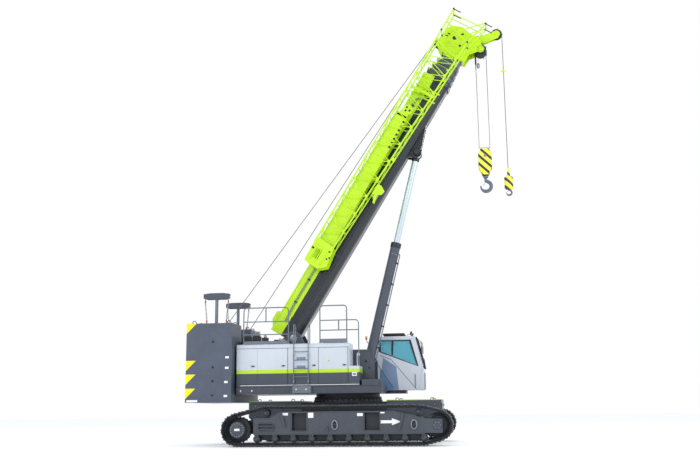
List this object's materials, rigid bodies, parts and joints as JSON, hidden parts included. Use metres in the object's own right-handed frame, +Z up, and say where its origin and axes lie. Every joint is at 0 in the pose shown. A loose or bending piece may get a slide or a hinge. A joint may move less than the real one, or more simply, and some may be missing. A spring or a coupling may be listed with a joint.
{
  "type": "telescopic boom crawler crane",
  "caption": "Crawler crane with a telescopic boom raised by a cylinder, a stowed lattice jib, a tilting cab, removable counterweights and two hook lines.",
  "frame": {"origin": "under the middle of the whole crane's box at rest, at ground level", "axes": "+X forward along the tracks and the boom, +Y to the left, +Z up"},
  "size_m": [11.0628, 5.4, 15.1778],
  "materials": {
    "lime_paint": "gloss lime paint",
    "slate_paint": "satin dark grey paint",
    "silver_paint": "satin silver paint",
    "charcoal_steel": "worn near-black paint",
    "weight_paint": "satin dark grey paint on castings",
    "rod_chrome": "ground chrome",
    "galvanised_tube": "grey tube",
    "hook_yellow": "gloss yellow paint",
    "tinted_glass": "tinted safety glass",
    "seat_trim": "black trim",
    "wire_rope": "steel wire rope"
  },
  "bodies": {
    "undercarriage": {"car_body": "charcoal_steel", "front_ballast": "slate_paint", "rear_ballast": "slate_paint", "slew_ring": "charcoal_steel"},
    "right_crawler": {"right_track": "charcoal_steel", "right_side_frame": "slate_paint", "right_sprocket": "charcoal_steel", "right_idler": "charcoal_steel", "right_rollers": "charcoal_steel"},
    "left_crawler": {"left_track": "charcoal_steel", "left_side_frame": "slate_paint", "left_sprocket": "charcoal_steel", "left_idler": "charcoal_steel", "left_rollers": "charcoal_steel"},
    "turntable": {"turntable_frame": "slate_paint", "right_house": "silver_paint", "left_house": "silver_paint", "engine_block": "charcoal_steel", "counterweight_base": "weight_paint", "right_lower_counterweight": "weight_paint", "right_middle_counterweight": "weight_paint", "right_upper_counterweight": "weight_paint", "left_lower_counterweight": "weight_paint", "left_middle_counterweight": "weight_paint", "left_upper_counterweight": "weight_paint", "right_counterweight_lift": "galvanised_tube", "left_counterweight_lift": "galvanised_tube", "main_winch": "charcoal_steel", "aux_winch": "charcoal_steel", "rear_handrail": "galvanised_tube", "front_handrail": "galvanised_tube", "ladder": "galvanised_tube"},
    "rear_service_door_leaf": {"rear_service_door": "silver_paint"},
    "middle_service_door_leaf": {"middle_service_door": "silver_paint"},
    "front_service_door_leaf": {"front_service_door": "silver_paint"},
    "left_service_door_leaf": {"left_service_door": "silver_paint"},
    "cab": {"cab_shell": "silver_paint", "side_window": "tinted_glass", "windscreen": "tinted_glass", "operator_seat": "seat_trim", "roof_guard": "charcoal_steel"},
    "cab_door_leaf": {"cab_door": "silver_paint", "door_window": "tinted_glass"},
    "boom": {"boom_base_section": "lime_paint", "jib": "lime_paint"},
    "section_2": {"boom_section_2": "slate_paint"},
    "section_3": {"boom_section_3": "slate_paint"},
    "section_4": {"boom_section_4": "slate_paint"},
    "section_5": {"boom_section_5": "slate_paint", "boom_head": "lime_paint", "head_sheaves": "charcoal_steel", "tip_sheave": "charcoal_steel"},
    "luffing_rod": {"luff_rod": "rod_chrome"},
    "luffing_barrel": {"luff_barrel": "slate_paint"},
    "main_line": {"main_hoist_ropes": "wire_rope"},
    "main_hook": {"hook_block": "hook_yellow"},
    "aux_line": {"aux_hoist_rope": "wire_rope"},
    "aux_hook_line": {"aux_hook": "hook_yellow"}
  },
  "joints": [
    {"name": "right_gauge", "type": "slide", "parent": "undercarriage", "child": "right_crawler", "axis": [0, 1, 0], "range_m": [0, 0.8]},
    {"name": "left_gauge", "type": "slide", "parent": "undercarriage", "child": "left_crawler", "axis": [0, -1, 0], "range_m": [0, 0.8]},
    {"name": "slew", "type": "hinge", "parent": "undercarriage", "child": "turntable", "pos_m": [-0.36142, 0, 1.65], "axis": [0, 0, 1], "continuous": true},
    {"name": "rear_service_door_hinge", "type": "hinge", "parent": "turntable", "child": "rear_service_door_leaf", "pos_m": [-3.84142, -1.48, 1.97], "axis": [0, 0, -1], "range_deg": [0, 88]},
    {"name": "middle_service_door_hinge", "type": "hinge", "parent": "turntable", "child": "middle_service_door_leaf", "pos_m": [-3.15142, -1.48, 1.97], "axis": [0, 0, -1], "range_deg": [0, 90]},
    {"name": "front_service_door_hinge", "type": "hinge", "parent": "turntable", "child": "front_service_door_leaf", "pos_m": [-1.12142, -1.48, 1.97], "axis": [0, 0, -1], "range_deg": [0, 95]},
    {"name": "left_service_door_hinge", "type": "hinge", "parent": "turntable", "child": "left_service_door_leaf", "pos_m": [-3.06142, 1.48, 1.97], "axis": [0, 0, 1], "range_deg": [0, 90]},
    {"name": "cab_tilt", "type": "hinge", "parent": "turntable", "child": "cab", "pos_m": [0.35858, 0, 1.77], "axis": [0, -1, 0], "range_deg": [0, 20]},
    {"name": "cab_door_slide", "type": "slide", "parent": "cab", "child": "cab_door_leaf", "axis": [-1, 0, 0], "range_m": [0, 0.75]},
    {"name": "boom_luff", "type": "hinge", "parent": "turntable", "child": "boom", "pos_m": [-2.16142, 0, 3.53], "axis": [0, -1, 0], "range_deg": [-57, 20]},
    {"name": "section_2_slide", "type": "slide", "parent": "boom", "child": "section_2", "axis": [0.5225, 0, 0.8526], "range_m": [0, 9.3]},
    {"name": "section_3_slide", "type": "slide", "parent": "section_2", "child": "section_3", "axis": [0.5225, 0, 0.8526], "range_m": [0, 9.3]},
    {"name": "section_4_slide", "type": "slide", "parent": "section_3", "child": "section_4", "axis": [0.5225, 0, 0.8526], "range_m": [0, 9.3]},
    {"name": "section_5_slide", "type": "slide", "parent": "section_4", "child": "section_5", "axis": [0.5225, 0, 0.8526], "range_m": [0, 9.3]},
    {"name": "luff_rod_swing", "type": "hinge", "parent": "boom", "child": "luffing_rod", "pos_m": [2.20451, 0, 10.06125], "axis": [0, -1, 0], "range_deg": [-4.99, 2.4]},
    {"name": "luff_stroke", "type": "slide", "parent": "luffing_rod", "child": "luffing_barrel", "axis": [-0.242, 0, -0.9703], "range_m": [-2.93, 1.041]},
    {"name": "main_line_swing", "type": "hinge", "parent": "section_5", "child": "main_line", "pos_m": [4.59922, 0, 13.77767], "axis": [0, -1, 0], "range_deg": [-21, 58]},
    {"name": "main_hoist", "type": "slide", "parent": "main_line", "child": "main_hook", "axis": [0, 0, -1], "range_m": [-2.8, 8], "deforming": ["main_hoist_ropes"]},
    {"name": "aux_line_swing", "type": "hinge", "parent": "section_5", "child": "aux_line", "pos_m": [5.18637, 0, 14.39131], "axis": [0, -1, 0], "range_deg": [-21, 58]},
    {"name": "aux_hoist", "type": "slide", "parent": "aux_line", "child": "aux_hook_line", "axis": [0, 0, -1], "range_m": [-4.3, 7.8], "deforming": ["aux_hoist_rope"]}
  ],
  "couplings": [
    {"joint": "luff_rod_swing", "follows": "boom_luff", "ratio": 0.07},
    {"joint": "luff_stroke", "follows": "boom_luff", "m_per_rad": 2.925},
    {"joint": "main_line_swing", "follows": "boom_luff", "ratio": -1},
    {"joint": "aux_line_swing", "follows": "boom_luff", "ratio": -1}
  ]
}
